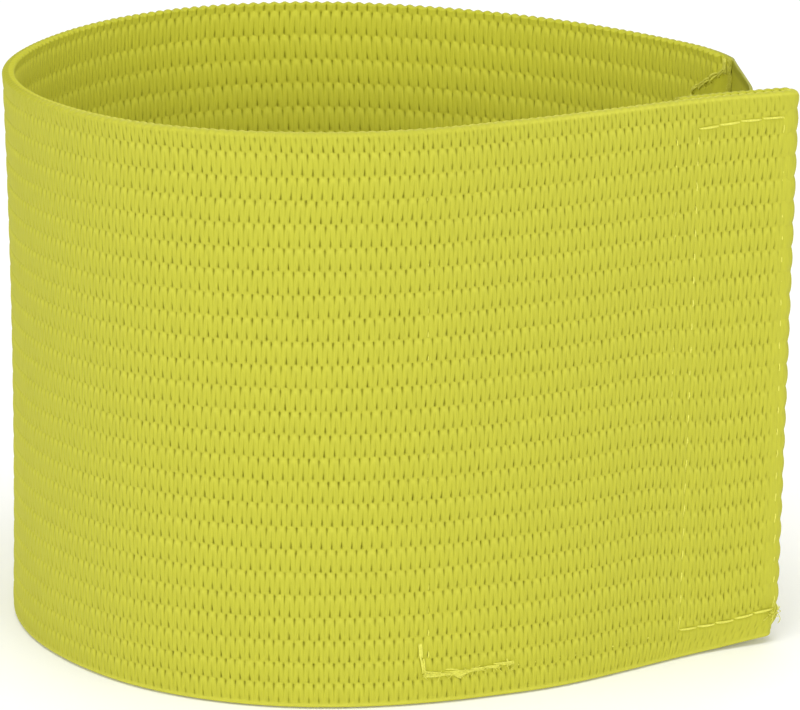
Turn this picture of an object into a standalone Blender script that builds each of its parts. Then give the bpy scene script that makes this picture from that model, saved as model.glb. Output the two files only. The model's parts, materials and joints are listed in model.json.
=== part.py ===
"""A wide ribbed elastic armband, closed by hook and loop and standing on its lower edge as a ring.

The band is one strip of knitted elastic. Its outer end is folded in and sewn down as a hem, and
a loop patch is sewn inside the strip just past the hem. A hook tape is sewn to the outer side of
the strip's inner end, and its free end lies inside the hem and grips the loop patch.

A flexible strip has no hinges. It is divided here into rigid lengths that turn through equal
angles, hinged on its outer face, so that the ring can be opened and laid out nearly straight.

Plan positions are measured along the strip's outer face, from the fold of the hem, and across it
as a depth towards the inside of the ring. All sizes are in metres, and +Z is up.
"""

import math

import bmesh
import bpy
from mathutils import Vector

# The strip of elastic
BAND_HEIGHT = 0.080
BAND_THICKNESS = 0.0018
GAP = 0.0003  # clearance between neighbouring solids

# The ring's plan: a straight flap, then four bends, each as (length, radius) of the outer face
FLAP_HEADING = math.radians(210)
STRETCHES = (
    (0.052, math.inf),
    (0.057, 0.041),
    (0.095, 0.063),
    (0.036, 0.0335),
    (0.076, 0.079),
)
STRIP_LENGTH = sum(length for length, radius in STRETCHES)
STRIP_TURN = sum(length / radius for length, radius in STRETCHES)
FACET_LENGTH = 0.0045  # longest straight facet along a bend

# The flap that peels open, with its hem and loop patch
FLAP_LENGTH = 0.061
HEM_LENGTH = 0.018
HEM_THICKNESS = 0.0038
FOLD_FACETS = 6
PATCH_START = 0.0185
PATCH_END = 0.0600
PATCH_MARGIN = 0.0015  # the patch is this much narrower than the band at each edge

# The rest of the strip
LENGTH_COUNT = 10
ROOT_LENGTH = 5  # the length that stays still, at the left of the ring

# The hook tape
TAPE_THICKNESS = 0.0013
TAPE_MARGIN = 0.0005
TAPE_SEWN = 0.0125
TAPE_MEETS_FLAP = 0.0035  # distance from the fold at which the tape reaches the hem
TAPE_TIP = 0.0315

# The sewing thread, sunk flush in grooves in the cloth
THREAD_RADIUS = 0.00025
SEAM_EDGE = 0.0043  # from the band's upper and lower edges to the seams
SEAM_INSET = 0.0014  # from the ends of a sewn piece to its seam

ELASTIC_COLOUR = (0.60, 0.61, 0.035)
PATCH_COLOUR = (0.50, 0.52, 0.04)
TAPE_COLOUR = (0.36, 0.38, 0.03)
THREAD_COLOUR = (0.80, 0.80, 0.16)
CLOTH_ROUGHNESS = 0.85
THREAD_ROUGHNESS = 0.6


class Body:
    """A rigid length of the object, and the upright axis, as an empty, that it turns about."""

    def __init__(self, name, axis, parent=None):
        self.axis = axis
        self.empty = bpy.data.objects.new(name, None)
        self.empty.empty_display_size = 0.01
        bpy.context.scene.collection.objects.link(self.empty)
        offset = axis
        if parent is not None:
            self.empty.parent = parent.empty
            offset = axis - parent.axis
        self.empty.location = (*offset, 0.0)


def direction(heading):
    """The unit vector with that heading in plan."""
    return Vector((math.cos(heading), math.sin(heading)))


def station(along):
    """Plan position and heading of the outer face, that far along the strip."""
    position = Vector((0.0, 0.0))
    heading = FLAP_HEADING
    for length, radius in STRETCHES:
        run = min(along, length)
        turn = run / radius
        chord = run if turn == 0 else 2 * radius * math.sin(turn / 2)
        position += chord * direction(heading - turn / 2)
        heading -= turn
        along -= run
    return position, heading


def place(along, depth):
    """The plan point that far along the strip and that deep inside its outer face."""
    position, heading = station(along)
    return position + depth * direction(heading - math.pi / 2)


def distance_at_turn(turn):
    """How far along the strip its outer face has turned through that angle."""
    start = 0.0
    for length, radius in STRETCHES:
        if 0 < length / radius and turn < length / radius:
            return start + turn * radius
        turn -= length / radius
        start += length
    return start


def steps(start, end):
    """Distances from start to end, close enough together to follow the strip's bends."""
    count = max(1, math.ceil((end - start) / FACET_LENGTH))
    return [start + (end - start) * i / count for i in range(count + 1)]


def wall_outline(start, end, outer_depth, inner_depth):
    """The plan outline of a length of wall between two depths."""
    outer = [place(s, outer_depth) for s in steps(start, end)]
    inner = [place(s, inner_depth) for s in reversed(steps(start, end))]
    return outer + inner


def flap_outline():
    """The flap's plan outline: the strip, with its outer end folded back on its inner side."""
    radius = HEM_THICKNESS / 2
    fold = []
    for i in range(FOLD_FACETS + 1):
        angle = math.pi * i / FOLD_FACETS
        fold.append(place(radius - radius * math.sin(angle), radius - radius * math.cos(angle)))
    end = FLAP_LENGTH - GAP / 2
    hem_end = [place(HEM_LENGTH, HEM_THICKNESS), place(HEM_LENGTH, BAND_THICKNESS)]
    inner = [place(s, BAND_THICKNESS) for s in steps(HEM_LENGTH, end)[1:]]
    outer = [place(s, 0.0) for s in reversed(steps(radius, end))]
    return fold + hem_end + inner + outer[:-1]


def length_ends():
    """Where the strip's lengths begin and end, at equal steps of turning."""
    flap_turn = FLAP_HEADING - station(FLAP_LENGTH)[1]
    each = (STRIP_TURN - flap_turn) / LENGTH_COUNT
    return [distance_at_turn(flap_turn + each * i) for i in range(LENGTH_COUNT + 1)]


def tape_line():
    """The tape's hook side in plan: where it leaves the strip, bends at the hem, and ends."""
    hook_depth = HEM_THICKNESS + GAP
    start = place(STRIP_LENGTH, -GAP - TAPE_THICKNESS)
    return start, place(TAPE_MEETS_FLAP, hook_depth), place(TAPE_TIP, hook_depth)


def line_heading(a, b):
    """The heading of the line from a to b."""
    return math.atan2(b.y - a.y, b.x - a.x)


def tape_run(a, b, bend_at_a, bend_at_b):
    """The outline of a straight run of tape, a to b on its hook side, mitred for its bends."""
    heading = line_heading(a, b)
    forward = direction(heading)
    inward = TAPE_THICKNESS * direction(heading - math.pi / 2)
    start = a + forward * (GAP / 2)
    end = b - forward * (GAP / 2)
    start_back = start + inward + forward * (TAPE_THICKNESS * math.tan(bend_at_a / 2))
    end_back = end + inward - forward * (TAPE_THICKNESS * math.tan(bend_at_b / 2))
    return [start, end, end_back, start_back]


def turn_between(first, second):
    """How far the line turns clockwise from one heading to the other, from 0 to a full turn."""
    return (first - second) % math.tau


def box_middle(points):
    """The middle of the box around some plan points."""
    across = [p.x for p in points]
    back = [p.y for p in points]
    return Vector((min(across) + max(across), min(back) + max(back))) / 2


def make_material(name, colour, roughness):
    """A Principled material of one colour."""
    material = bpy.data.materials.new(name)
    material.use_nodes = True
    shader = material.node_tree.nodes["Principled BSDF"]
    shader.inputs["Base Color"].default_value = (*colour, 1.0)
    shader.inputs["Roughness"].default_value = roughness
    shader.inputs["Metallic"].default_value = 0.0
    return material


def make_collection(name):
    """A collection in the scene."""
    collection = bpy.data.collections.new(name)
    bpy.context.scene.collection.children.link(collection)
    return collection


def plate_curve(name, outline, margin, axis):
    """An upright plate of the band's height less a margin, as a filled outline about an axis."""
    curve = bpy.data.curves.new(name, "CURVE")
    curve.dimensions = "2D"
    curve.fill_mode = "BOTH"
    curve.extrude = BAND_HEIGHT / 2 - margin
    spline = curve.splines.new("POLY")
    spline.points.add(len(outline) - 1)
    spline.use_cyclic_u = True
    for point, corner in zip(spline.points, outline):
        point.co = (*(corner - axis), 0.0, 1.0)
    plate = bpy.data.objects.new(name, curve)
    plate.location.z = BAND_HEIGHT / 2
    return plate


def seam_curve(name, line, radius):
    """A closed tube that runs along a plan line near one edge and back near the other."""
    low = SEAM_EDGE - BAND_HEIGHT / 2
    high = BAND_HEIGHT / 2 - SEAM_EDGE
    corners = [(*p, low) for p in line] + [(*p, high) for p in reversed(line)]
    curve = bpy.data.curves.new(name, "CURVE")
    curve.dimensions = "3D"
    curve.bevel_depth = radius
    curve.bevel_resolution = 1
    spline = curve.splines.new("POLY")
    spline.points.add(len(corners) - 1)
    spline.use_cyclic_u = True
    for point, corner in zip(spline.points, corners):
        point.co = (*corner, 1.0)
    tube = bpy.data.objects.new(name, curve)
    tube.location.z = BAND_HEIGHT / 2
    return tube


def solid_from(curve_object):
    """The same piece as a mesh, with its caps welded on, in place of the curve."""
    bpy.context.scene.collection.objects.link(curve_object)
    bpy.context.view_layer.update()
    evaluated = curve_object.evaluated_get(bpy.context.evaluated_depsgraph_get())
    mesh = bpy.data.meshes.new_from_object(evaluated)
    work = bmesh.new()
    work.from_mesh(mesh)
    bmesh.ops.remove_doubles(work, verts=work.verts, dist=1e-6)
    bmesh.ops.recalc_face_normals(work, faces=work.faces)
    work.to_mesh(mesh)
    work.free()
    name = curve_object.name
    location = curve_object.location.copy()
    bpy.data.objects.remove(curve_object)
    solid = bpy.data.objects.new(name, mesh)
    solid.location = location
    return solid


class Armband:
    """The whole object: its bodies and the pieces on them."""

    def __init__(self):
        for item in list(bpy.data.objects):
            bpy.data.objects.remove(item)
        self.parts = make_collection("ribbed_armband")
        self.cutters = make_collection("cutters")
        self.ends = length_ends()
        self.tape = tape_line()
        self.centre = self.plan_centre()
        self.lengths = self.make_length_bodies()
        self.flap = Body("flap_axis", self.axis_at(FLAP_LENGTH), self.lengths[1])
        self.tape_span = Body("tape_span_axis", self.tape[0] - self.centre, self.lengths[LENGTH_COUNT])
        self.tape_grip = Body("tape_grip_axis", self.tape[1] - self.centre, self.tape_span)

    def plan_centre(self):
        """The middle of the ring's box in plan, which is the object's origin."""
        hook_face = -GAP - TAPE_THICKNESS
        points = flap_outline()
        points += wall_outline(STRIP_LENGTH - TAPE_SEWN, STRIP_LENGTH, hook_face, -GAP)
        for start, end in zip(self.ends, self.ends[1:]):
            points += wall_outline(start + GAP / 2, end - GAP / 2, 0.0, BAND_THICKNESS)
        return box_middle(points)

    def axis_at(self, along):
        """The hinge axis that stands on the outer face, that far along the strip."""
        return place(along, 0.0) - self.centre

    def make_length_bodies(self):
        """One body for each length, hinged outwards both ways from the length that stays still."""
        root = Body("root_axis", self.axis_at(self.ends[ROOT_LENGTH]))
        bodies = {ROOT_LENGTH: root}
        for number in range(ROOT_LENGTH + 1, LENGTH_COUNT + 1):
            axis = self.axis_at(self.ends[number - 1])
            bodies[number] = Body(f"length_{number:02d}_axis", axis, bodies[number - 1])
        for number in range(ROOT_LENGTH - 1, 0, -1):
            axis = self.axis_at(self.ends[number])
            bodies[number] = Body(f"length_{number:02d}_axis", axis, bodies[number + 1])
        return bodies

    def add(self, piece, body, colour, roughness=CLOTH_ROUGHNESS):
        """Puts a piece on a body, with a material of its own."""
        piece.data.materials.clear()
        piece.data.materials.append(make_material(piece.name, colour, roughness))
        piece.parent = body.empty
        self.parts.objects.link(piece)
        return piece

    def plate(self, name, outline, margin, body, colour):
        """An upright plate on a body."""
        curve = plate_curve(name, outline, margin, self.centre + body.axis)
        return self.add(solid_from(curve), body, colour)

    def seam(self, name, start, end, face_depth, inward, grooved, body):
        """A seam's thread, sunk in a groove in the faces it crosses.

        It lies on the face at that depth, and inward is 1 where the cloth is on the ring's
        inner side of that face, or -1 where it is on the outer side.
        """
        depth = face_depth + inward * THREAD_RADIUS
        origin = self.centre + body.axis
        line = [place(s, depth) - origin for s in steps(start, end)]
        self.add(solid_from(seam_curve(name, line, THREAD_RADIUS)), body, THREAD_COLOUR, THREAD_ROUGHNESS)
        cutter = solid_from(seam_curve(name + "_groove", line, THREAD_RADIUS + GAP))
        cutter.parent = body.empty
        cutter.hide_render = True
        cutter.display_type = "WIRE"
        self.cutters.objects.link(cutter)
        for piece in grooved:
            groove = piece.modifiers.new(cutter.name, "BOOLEAN")
            groove.operation = "DIFFERENCE"
            groove.object = cutter

    def make_flap(self):
        """The peeling flap with its folded hem, its loop patch, and both of their seams."""
        flap = self.plate("front_flap", flap_outline(), 0.0, self.flap, ELASTIC_COLOUR)
        patch_outline = wall_outline(PATCH_START, PATCH_END, BAND_THICKNESS + GAP, HEM_THICKNESS)
        patch = self.plate("loop_patch", patch_outline, PATCH_MARGIN, self.flap, PATCH_COLOUR)
        hem = (HEM_THICKNESS / 2, HEM_LENGTH - SEAM_INSET)
        sewn = (PATCH_START + SEAM_INSET, PATCH_END - SEAM_INSET)
        self.seam("hem_needle_thread", *hem, 0.0, 1, [flap], self.flap)
        self.seam("hem_bobbin_thread", *hem, HEM_THICKNESS, -1, [flap], self.flap)
        self.seam("patch_needle_thread", *sewn, 0.0, 1, [flap], self.flap)
        self.seam("patch_bobbin_thread", *sewn, HEM_THICKNESS, -1, [patch], self.flap)

    def make_lengths(self):
        """The rest of the strip, in lengths that turn through equal angles."""
        made = {}
        for number in range(1, LENGTH_COUNT + 1):
            start = self.ends[number - 1] + GAP / 2
            end = self.ends[number] - GAP / 2
            outline = wall_outline(start, end, 0.0, BAND_THICKNESS)
            name = f"band_length_{number:02d}"
            made[number] = self.plate(name, outline, 0.0, self.lengths[number], ELASTIC_COLOUR)
        return made

    def make_tape(self, last_length):
        """The hook tape: sewn to the strip's inner end, free to the hem, then along the flap."""
        body = self.lengths[LENGTH_COUNT]
        leave, bend, tip = self.tape
        span_heading = line_heading(leave, bend)
        leave_bend = turn_between(FLAP_HEADING - STRIP_TURN, span_heading)
        hem_bend = turn_between(span_heading, line_heading(bend, tip))
        start = STRIP_LENGTH - TAPE_SEWN
        end = STRIP_LENGTH - GAP / 2 - TAPE_THICKNESS * math.tan(leave_bend / 2)
        sewn_outline = wall_outline(start, end, -GAP - TAPE_THICKNESS, -GAP)
        sewn = self.plate("hook_tape_sewn_end", sewn_outline, TAPE_MARGIN, body, TAPE_COLOUR)
        span_outline = tape_run(leave, bend, leave_bend, hem_bend)
        self.plate("hook_tape_free_span", span_outline, TAPE_MARGIN, self.tape_span, TAPE_COLOUR)
        grip_outline = tape_run(bend, tip, hem_bend, 0.0)
        self.plate("hook_tape_grip", grip_outline, TAPE_MARGIN, self.tape_grip, TAPE_COLOUR)
        seam = (start + SEAM_INSET, end - SEAM_INSET)
        hook_face = -GAP - TAPE_THICKNESS
        self.seam("tape_needle_thread", *seam, hook_face, 1, [sewn], body)
        self.seam("tape_bobbin_thread", *seam, BAND_THICKNESS, -1, [last_length], body)


def main():
    armband = Armband()
    armband.make_flap()
    made = armband.make_lengths()
    armband.make_tape(made[LENGTH_COUNT])


main()
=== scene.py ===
"""A lime ribbed elastic armband, closed by hook and loop, standing as a ring on a pale floor.

The band is one strip of knitted elastic, folded over at one end as a hem. Positions on it are
a path distance, 0 where the fold begins, positive along the strip and negative round the fold
and along the hem's inner layer, and a height above the lower edge. A lift is a distance off
the cloth's face. All sizes are in metres, and +Z is up.
"""

import json
from math import ceil, floor, inf, isinf, pi, radians, tau

import bpy
import numpy as np
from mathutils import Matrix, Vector


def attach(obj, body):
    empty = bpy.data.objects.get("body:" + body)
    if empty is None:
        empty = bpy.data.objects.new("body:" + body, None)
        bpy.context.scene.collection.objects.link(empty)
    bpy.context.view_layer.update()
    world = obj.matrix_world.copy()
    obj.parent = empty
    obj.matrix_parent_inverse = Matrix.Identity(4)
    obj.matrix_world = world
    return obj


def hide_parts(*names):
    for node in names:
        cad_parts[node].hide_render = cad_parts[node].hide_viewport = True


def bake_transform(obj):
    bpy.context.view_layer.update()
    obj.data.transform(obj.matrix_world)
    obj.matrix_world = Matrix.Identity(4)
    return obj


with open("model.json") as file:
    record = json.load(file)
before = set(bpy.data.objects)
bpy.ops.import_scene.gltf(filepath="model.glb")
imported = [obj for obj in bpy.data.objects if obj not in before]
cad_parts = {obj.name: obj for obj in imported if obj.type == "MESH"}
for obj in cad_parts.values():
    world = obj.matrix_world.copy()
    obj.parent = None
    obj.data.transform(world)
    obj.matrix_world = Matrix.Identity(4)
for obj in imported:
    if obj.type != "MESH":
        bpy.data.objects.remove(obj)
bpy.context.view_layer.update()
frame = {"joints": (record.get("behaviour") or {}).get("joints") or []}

# The strip, as the CAD model lays it out
HEIGHT = 0.080
THICKNESS = 0.0018
HALF = THICKNESS / 2
GAP = 0.0003
FLAP_HEADING = radians(210)
STRETCHES = (  # (length, radius of the bend)
    (0.052, inf),
    (0.057, 0.041),
    (0.095, 0.063),
    (0.036, 0.0335),
    (0.076, 0.079),
)
STRIP_LENGTH = sum(length for length, radius in STRETCHES)
STRIP_TURN = sum(length / radius for length, radius in STRETCHES)
FLAP_LENGTH = 0.061
HEM_LENGTH = 0.018
HEM_THICKNESS = 0.0038
PATCH_START = 0.0185
PATCH_END = 0.0600
PATCH_MARGIN = 0.0015
LENGTH_COUNT = 10
TAPE_THICKNESS = 0.0013
TAPE_MARGIN = 0.0005
TAPE_SEWN = 0.0125
TAPE_GRIPS = 0.0050
TAPE_TIP = 0.0315

# The hem's fold, as a half circle in plan
FOLD_START = HEM_THICKNESS / 2
FOLD_RADIUS = HEM_THICKNESS / 2 - HALF
FOLD_ARC = pi * FOLD_RADIUS
HEM_START = -(FOLD_ARC + HEM_LENGTH - FOLD_START)
PATH_END = STRIP_LENGTH - FOLD_START

# The knit: ribs lie along the strip, and columns of stitches stand across it
RIB = 0.0032
RIB_SHIFT = 0.14  # how much of a rib is missing above the top row
INNER_RIB = 0.00378
INNER_SHIFT = 0.63
PITCHES = (  # the spacing of the columns, where the strip is more or less stretched
    (-0.030, 0.00128),
    (0.035, 0.00129),
    (0.070, 0.00138),
    (0.145, 0.00138),
    (0.182, 0.00167),
    (0.320, 0.00168),
)
COLUMN_STEPS = (0, 0.05, 0.11, 0.22, 0.34, 0.44, 0.5, 0.56, 0.66, 0.78, 0.89, 0.95)
RIB_STEPS = (0, 0.07, 0.15, 0.28, 0.44, 0.62, 0.78, 0.88, 0.95)
EDGE_STEPS = (0.00004, 0.00012, 0.00024, 0.00042, 0.00064)

rng = np.random.default_rng(11)


def direction(heading):
    """Unit plan vectors with those headings."""
    return np.stack([np.cos(heading), np.sin(heading)], -1)


def station(along):
    """Plan positions and headings of the strip's outer face at distances along it."""
    left = np.asarray(along, float)
    position = np.zeros(left.shape + (2,))
    heading = np.full(left.shape, FLAP_HEADING)
    for length, radius in STRETCHES:
        run = np.clip(left, 0.0, length)
        turn = run / radius
        chord = run if isinf(radius) else 2 * radius * np.sin(turn / 2)
        position = position + chord[..., None] * direction(heading - turn / 2)
        heading = heading - turn
        left = left - run
    return position, heading


PEEL = next(joint for joint in frame["joints"] if joint["name"] == "closure_peel")
ORIGIN = np.array(PEEL["pos_m"][:2]) - station(FLAP_LENGTH)[0]


def distance_at_turn(turn):
    """How far along the strip its outer face has turned through that angle."""
    start = 0.0
    for length, radius in STRETCHES:
        if 0 < length / radius and turn < length / radius:
            return start + turn * radius
        turn -= length / radius
        start += length
    return start


def length_ends():
    """Where the strip's rigid lengths begin and end."""
    flap_turn = FLAP_HEADING - float(station(FLAP_LENGTH)[1])
    each = (STRIP_TURN - flap_turn) / LENGTH_COUNT
    return [distance_at_turn(flap_turn + each * i) for i in range(LENGTH_COUNT + 1)]


ENDS = length_ends()
MIDS = {k + 1: (ENDS[k] + ENDS[k + 1]) / 2 for k in range(LENGTH_COUNT)}


def smooth(low, high, x):
    """A smooth step from 0 at low to 1 at high, which may be the lower of the two."""
    t = np.clip((x - low) / (high - low), 0.0, 1.0)
    return t * t * (3 - 2 * t)


def hump(x, middle, width):
    """A bell curve of height 1."""
    return np.exp(-(((x - middle) / width) ** 2))


def rounded(depth, radius):
    """The share of a slab's thickness at a depth in from its rounded edge."""
    return np.sqrt(1 - (1 - np.clip(depth / radius, 0, 1)) ** 2)


def grid(first, second):
    """Every pair of two lists' values, as two arrays."""
    return np.meshgrid(first, second, indexing="ij")


# Where the soft wall leaves its even bends: (distance along, width, outward at top, at bottom)
BULGES = (
    (0.000, 0.009, 0.0007, -0.0004),
    (0.012, 0.009, -0.0005, -0.0009),
    (0.040, 0.015, 0.0000, 0.0024),
    (0.105, 0.025, 0.0003, -0.0006),
    (0.180, 0.016, 0.0000, -0.0006),
    (0.252, 0.035, 0.0006, 0.0000),
    (0.306, 0.018, 0.0009, 0.0002),
)


def drift(along, height):
    """How far the soft wall stands outside its even bends."""
    up = height / HEIGHT
    total = -0.0006 * hump(along, 0.150, 0.022) * 4 * up * (1 - up)
    for middle, width, at_top, at_bottom in BULGES:
        total = total + hump(along, middle, width) * (at_top * up + at_bottom * (1 - up))
    return total


def reach(along, height):
    """How far the flap's end is pulled out along the strip, most at its upper corner."""
    up = height / HEIGHT
    lower_corner = 0.0013 * smooth(0.0036, 0.0, height)
    upper_corner = 0.0004 * smooth(0.0012, 0.0, HEIGHT - height)
    pulled = 0.0001 + 0.00126 * up - lower_corner - upper_corner
    return pulled * np.clip(1 - along / 0.040, 0, 1)


def rise(along, height):
    """How far the sewn ends' corners are drawn up, and the front wall has sunk."""
    up = height / HEIGHT
    corners = 0.0008 * hump(along, 0.0, 0.008) * (1 - up) ** 3
    corners = corners + 0.0003 * hump(along, 0.310, 0.010) * up
    front = (0.4 + 0.6 * smooth(0.018, 0.042, along)) * smooth(0.200, 0.165, along)
    return corners - 0.0005 * front * smooth(0.0, 0.010, height)


def softening(along, height):
    """How far a point of the even strip moves to where the soft wall has it."""
    heading = station(along)[1]
    out, forward = direction(heading + pi / 2), direction(heading)
    plan = out * drift(along, height)[..., None] - forward * reach(along, height)[..., None]
    return stack_height(plan, rise(along, height))


def stack_height(plan, height):
    """Points in space from plan positions and heights."""
    return np.concatenate([plan, height[..., None]], -1)


def path(p):
    """The cloth's middle and its outer normal in plan, and the distance along the strip."""
    along = FOLD_START + np.maximum(p, 0) + np.maximum(-p - FOLD_ARC, 0)
    turn = np.clip(-p / FOLD_RADIUS, 0, pi)
    position, heading = station(along)
    out, forward = direction(heading + pi / 2), direction(heading)
    normal = np.cos(turn)[..., None] * out - np.sin(turn)[..., None] * forward
    middle = position - FOLD_START * out + FOLD_RADIUS * normal
    return ORIGIN + middle, normal, along


def distances(lines):
    """How far along its line each point is."""
    steps = np.diff(lines, axis=-2, prepend=lines[..., :1, :])
    return np.cumsum(np.linalg.norm(steps, axis=-1), axis=-1)


def between(x, places, points):
    """The plan points at x of a line whose points are at those places."""
    return np.stack([np.interp(x, places, values) for values in points.T], -1)


def on_band(p, height, lift):
    """Points at a lift from the cloth's outer face."""
    p, height, lift = np.broadcast_arrays(p, height, lift)
    middle, normal, along = path(p)
    plan = middle + normal * (HALF + lift)[..., None]
    return stack_height(plan, height) + softening(along, height)


def on_inner_face(p, height, lift):
    """Points at a lift from the cloth's inner face."""
    return on_band(p, height, -THICKNESS - lift)


def above_tape_seam(p, height):
    """How far points are above the tape's upper seam."""
    return height - np.interp(p, *zip(*reversed(TAPE_TOP)))


def pressed_in(p, height):
    """How far the inner face is pressed in at the strip's inner end, most below the tape's seam."""
    depth = HALF * (0.9 + 0.35 * smooth(0.0004, -0.0010, above_tape_seam(p, height)))
    return depth * smooth(PATH_END - 0.0035, PATH_END - 0.0004, p)


def on_end_face(p, height, lift):
    """Points at a lift from the inner face, near the strip's pressed inner end."""
    return on_inner_face(p, height, lift - pressed_in(p, height))


def on_hem_layer(p, height, lift):
    """Points at a lift from the hem's inner layer, behind the same path distance outside."""
    return on_band(-FOLD_ARC - p, height, lift)


def skew(p, height):
    """How far along the strip a column of stitches has wandered at that height."""
    down = (HEIGHT - height) / HEIGHT
    lean = 0.0019 * (smooth(0.06, 1.0, down) - 0.45) - 0.0004 * hump(down, 0.06, 0.07)
    ends = smooth(HEM_START - 0.0005, HEM_START + 0.012, p) * smooth(PATH_END, PATH_END - 0.014, p)
    return lean * ends


# ---- seams, as (path, height) points

HEM_TOP = ((0.0012, 0.0764), (0.0080, 0.0762), (0.0144, 0.0757))
HEM_LEFT = ((0.0144, 0.0757), (0.0150, 0.0400), (0.0158, 0.0042))
HEM_BOTTOM = ((0.0158, 0.0042), (0.0073, 0.0040), (-0.0002, 0.0044))
HEM_RIGHT = ((-0.0002, 0.0044), (0.0004, 0.0400), (0.0012, 0.0764))
PATCH_SEAM = (
    (0.0180, 0.0757), (0.0567, 0.0757), (0.0567, 0.0043), (0.0180, 0.0043), (0.0180, 0.0757),
)
TACK_UPRIGHT = ((0.0580, 0.0092), (0.0573, 0.0045))
TACK_LEVEL = ((0.0575, 0.0041), (0.0515, 0.0043), (0.0442, 0.0049))
TAPE_TOP = ((PATH_END - 0.0003, 0.0777), (0.3099, 0.0757), (0.3053, 0.0739), (0.3034, 0.0731))
TAPE_LEFT = ((0.3034, 0.0731), (0.3030, 0.0400), (0.3034, 0.0046))
TAPE_BOTTOM = ((0.3034, 0.0046), (0.3124, 0.0045))
TAPE_RIGHT = ((0.3124, 0.0045), (0.3127, 0.0400), (0.3126, 0.0768))


def distance_to(line, p, height):
    """The distance from points to a line of straight pieces on the cloth."""
    nearest = np.full(np.broadcast(p, height).shape, np.inf)
    for (p0, z0), (p1, z1) in zip(line, line[1:]):
        dp, dz = p1 - p0, z1 - z0
        t = np.clip(((p - p0) * dp + (height - z0) * dz) / (dp * dp + dz * dz), 0, 1)
        nearest = np.minimum(nearest, np.hypot(p - p0 - t * dp, height - z0 - t * dz))
    return nearest


# ---- the knitted surface


def phase_table():
    """Path distances in small steps, and the columns counted up to each."""
    places = np.arange(HEM_START - 0.003, PATH_END + 0.003, 0.00005)
    spacing = np.interp(places, *zip(*PITCHES))
    counted = np.cumsum(np.diff(places, prepend=places[0]) / spacing)
    return places, counted - np.interp(0.0, places, counted)


PLACES, PHASES = phase_table()


def column_positions():
    """Path distances of the grid's columns, denser where the slits are."""
    first, last = floor(PHASES[0]), ceil(PHASES[-1])
    phases = np.array([c + f for c in range(first, last + 1) for f in COLUMN_STEPS])
    places = np.interp(phases, PHASES, PLACES)
    clear = 0.00012
    inside = (places > HEM_START + clear) & (places < PATH_END - clear)
    return np.concatenate([[HEM_START], places[inside], [PATH_END]])


def row_heights(pitch, shift):
    """Heights of a face's rows, from the lower edge to the upper one."""
    ribs = range(ceil(HEIGHT / pitch) + 1)
    depths = [(rib + step - shift) * pitch for rib in ribs for step in RIB_STEPS]
    clear = EDGE_STEPS[-1] + 0.0001
    inside = [HEIGHT - d for d in depths if clear < d < HEIGHT - clear]
    edges = [0.0, HEIGHT, *EDGE_STEPS, *(HEIGHT - e for e in EDGE_STEPS)]
    return np.array(sorted(inside + edges))


COLUMNS = 260
ROWS = 28
HEM_COLUMNS = 25  # more than the columns before path distance 0
JITTER = {
    end + name: amount * rng.standard_normal((2, COLUMNS, ROWS))
    for name, amount in (
        ("width", 0.13), ("depth", 0.13), ("shift", 0.016), ("height", 0.020), ("lean", 0.030),
    )
    for end in ("foot_", "head_")
}
JITTER["tone"] = 0.20 * rng.standard_normal((2, COLUMNS, ROWS))


def knit(phase, rib, face):
    """The bulge of the ribs, their legs and heads, where the knit is slit or lined, and its painted
    highlights.

    phase counts columns along the strip, and rib counts ribs down from the upper edge. face is 0
    outside and 1 inside. Each stitch is a loop whose head is at the top of its rib and whose two
    legs stand below it.
    """
    index = np.floor(rib).astype(int)
    f = rib - index
    index = np.clip(index, 0, ROWS - 1)
    foot_column = np.rint(phase).astype(int)
    head_column = np.floor(phase).astype(int)

    def vary(name, column):
        return JITTER[name][face, (column + HEM_COLUMNS) % COLUMNS, index]

    def slit(name, column, across, openness, middle):
        lean = vary(name + "_lean", column) * (f - middle)
        across = across - vary(name + "_shift", column) - lean
        width = (0.026 + 0.044 * openness) * (1 + vary(name + "_width", column))
        opened = openness * hump(across, 0, width) * (1 + vary(name + "_depth", column))
        return opened, hump(across, 0, 0.032)

    fs = f + vary("foot_height", foot_column)
    foot = smooth(0.54, 0.90, fs) * smooth(0.995, 0.93, fs)
    foot_slit, foot_line = slit("foot", foot_column, phase - foot_column, foot, 0.8)
    hs = f + vary("head_height", head_column)
    head = smooth(0.01, 0.07, hs) * smooth(0.44, 0.12, hs)
    selvedge = 0.8 * smooth(0.34, 0.46, hs) * smooth(0.66, 0.50, hs)
    head = np.where((index == 0) & (face == 0), selvedge, head)
    head_slit, head_line = slit("head", head_column, phase - head_column - 0.5, head, 0.2)

    across = np.abs(phase - foot_column)
    spread = 0.05 + 0.20 * smooth(0.02, 0.45, f) + 0.02 * smooth(0.6, 0.95, f)
    legs = hump(across, spread, 0.26 - 0.05 * smooth(0.1, 0.5, f))
    arch = f + 0.05 * np.cos(tau * phase)
    bulge = np.sin(pi * (arch - np.floor(arch))) ** 0.7
    heads = hump(across, 0, 0.27) * hump(f, 0.14, 0.12) * (1 + vary("tone", foot_column))
    rims = hump(across, 0.37, 0.06) * smooth(0.03, 0.12, f) * smooth(0.50, 0.20, f)
    # painted highlights on the loops' heads and on the rims beside the slits
    light = np.clip(heads + 0.6 * rims, 0, 1.4)
    line = foot_line * smooth(0.05, 0.5, f) + head_line * smooth(0.98, 0.5, f)
    return bulge, legs, heads, light, np.clip(foot_slit + head_slit, 0, 1.25), np.clip(line, 0, 1)


RIB_DEPTH = 0.00013  # of the furrow between two ribs
LEG_HEIGHT = 0.00008
HEAD_HEIGHT = 0.00004
SLIT_DEPTH = 0.00021
LINE_DEPTH = 0.00003


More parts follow.
